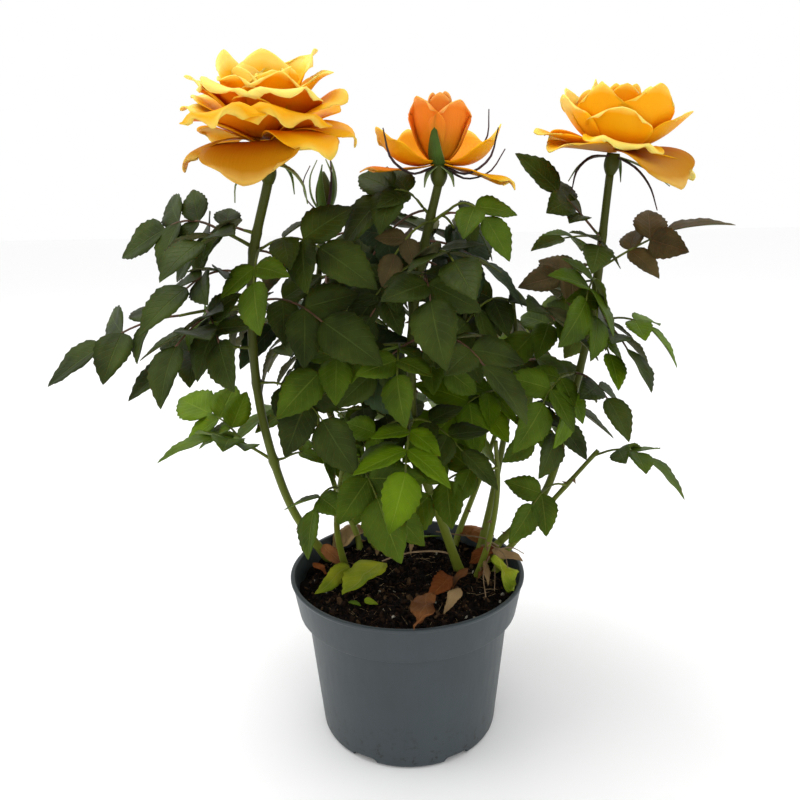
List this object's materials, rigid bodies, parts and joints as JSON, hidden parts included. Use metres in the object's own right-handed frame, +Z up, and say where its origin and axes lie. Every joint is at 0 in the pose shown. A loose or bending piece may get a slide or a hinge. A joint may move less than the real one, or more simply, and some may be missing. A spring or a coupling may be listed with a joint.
{
  "type": "potted rose bush",
  "caption": "Small rose bush in a collared nursery pot, with thorny green canes, masses of pinnate leaves, open double yellow blooms and a closed bud.",
  "frame": {"origin": "centre of the pot's flat underside", "axes": "+X to the right of the front view, +Y to the back, +Z up"},
  "size_m": [0.3136, 0.2142, 0.3263],
  "materials": {
    "pot": "satin blue-grey injection-moulded plastic, scuffed, with soil smears near the foot",
    "soil": null,
    "cane": null,
    "leaf": null,
    "petal": null
  },
  "bodies": {
    "root": {"pot": "pot", "soil": "soil", "cane_left": "cane", "cane_centre": "cane", "cane_right": "cane", "cane_bud": "cane", "cane_low_right": "cane", "cane_inner_right": "cane", "cane_front_left": "cane", "cane_front_right": "cane", "cane_back_left": "cane", "cane_back": "cane", "cane_back_right": "cane", "bloom_left": "petal", "bloom_centre": "petal", "bloom_right": "petal", "leaves_left_top": "leaf", "leaves_left_shoulder": "leaf", "leaves_left_high_front": "leaf", "leaves_left_inside": "leaf", "leaves_left_far": "leaf", "leaves_left_middle": "leaf", "leaves_left_front": "leaf", "leaves_left_back": "leaf", "leaves_left_low": "leaf", "leaves_left_low_front": "leaf", "leaves_left_hanging": "leaf", "leaves_bud_top": "leaf", "leaves_bud_right": "leaf", "leaves_bud_middle": "leaf", "leaves_bud_low": "leaf", "leaves_bud_back": "leaf", "leaves_centre_top_left": "leaf", "leaves_centre_top_right": "leaf", "leaves_centre_high_right": "leaf", "leaves_centre_high_back": "leaf", "leaves_centre_front": "leaf", "leaves_centre_left": "leaf", "leaves_centre_right": "leaf", "leaves_centre_low": "leaf", "leaves_right_top": "leaf", "leaves_right_far": "leaf", "leaves_right_front": "leaf", "leaves_right_side": "leaf", "leaves_right_back": "leaf", "leaves_right_middle": "leaf", "leaves_right_low": "leaf", "leaves_inner_right_top": "leaf", "leaves_inner_right_low": "leaf", "leaves_inner_right_back": "leaf", "leaves_low_right_far": "leaf", "leaves_low_right_front": "leaf", "leaves_front_left_top": "leaf", "leaves_front_left_low": "leaf", "leaves_front_right_top": "leaf", "leaves_back_left_top": "leaf", "leaves_back_left_low": "leaf", "leaves_back_top": "leaf", "leaves_back_low": "leaf", "leaves_back_right_top": "leaf"}
  },
  "joints": []
}
